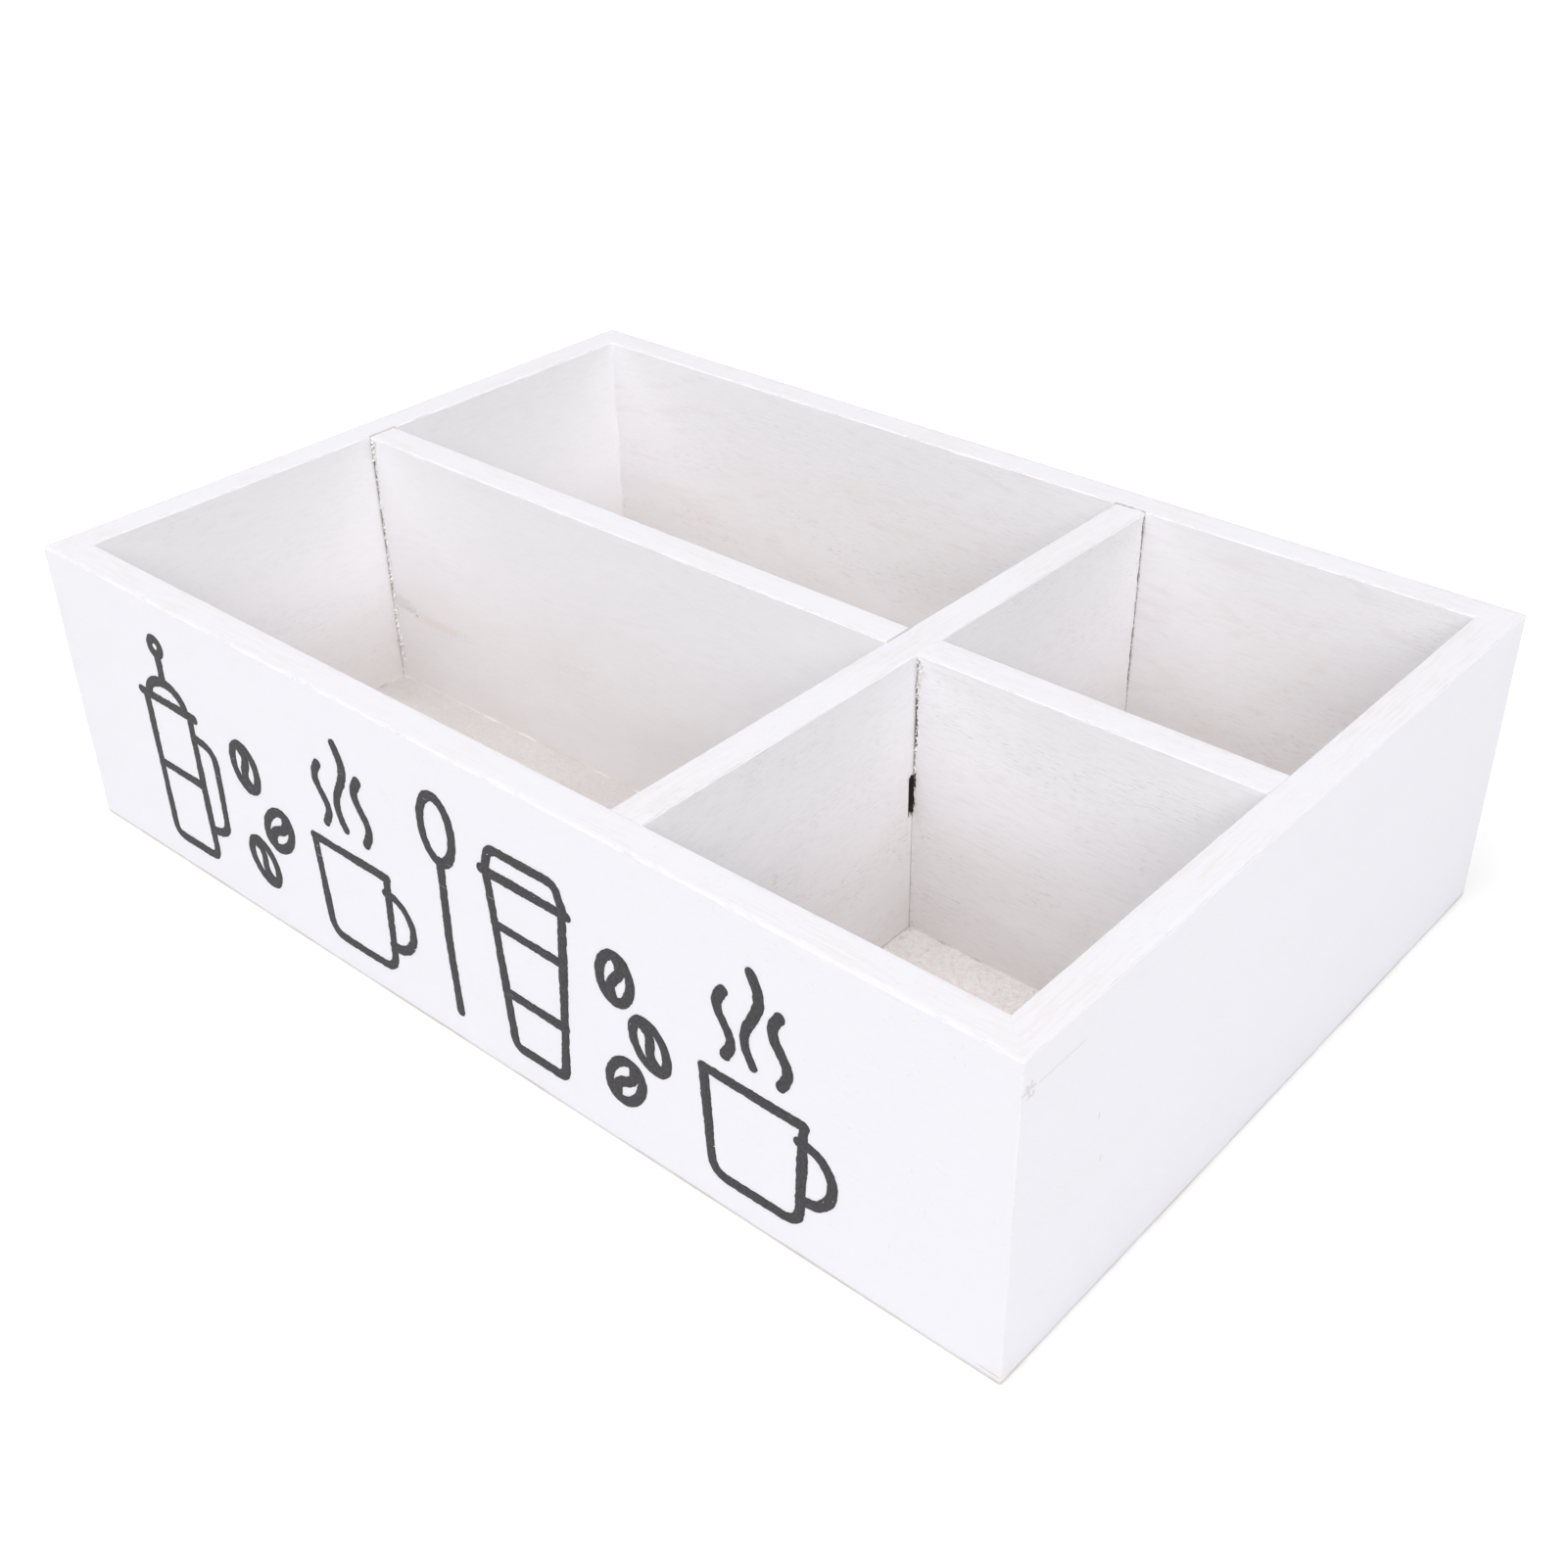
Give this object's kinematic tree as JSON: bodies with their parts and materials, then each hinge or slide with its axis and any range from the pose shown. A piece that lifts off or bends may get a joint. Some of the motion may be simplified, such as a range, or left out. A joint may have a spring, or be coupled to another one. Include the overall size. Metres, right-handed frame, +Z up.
{
  "type": "coffee station organizer",
  "caption": "Low open-topped painted wooden box with mitred walls, a floor panel let into rabbets, and crossing dividers that part it into wide and narrow compartments.",
  "frame": {"origin": "centre of the box's footprint, on the plane it stands on", "axes": "+X along the front to the right as seen from the front, +Y from the front to the back, +Z up"},
  "size_m": [0.298, 0.2, 0.08],
  "materials": {
    "painted_board": "satin white paint over fine grain",
    "painted_divider": "satin white paint over fine grain, cracked at the seams",
    "painted_floor": "thin matt white paint over plywood",
    "brad_steel": "bright wire"
  },
  "bodies": {
    "root": {"front_board": "painted_board", "right_board": "painted_board", "back_board": "painted_board", "left_board": "painted_board", "floor_panel": "painted_floor", "cross_divider": "painted_divider", "left_divider": "painted_divider", "right_divider": "painted_divider", "corner_brads": "brad_steel", "divider_brads": "brad_steel", "floor_brads": "brad_steel"}
  },
  "joints": []
}
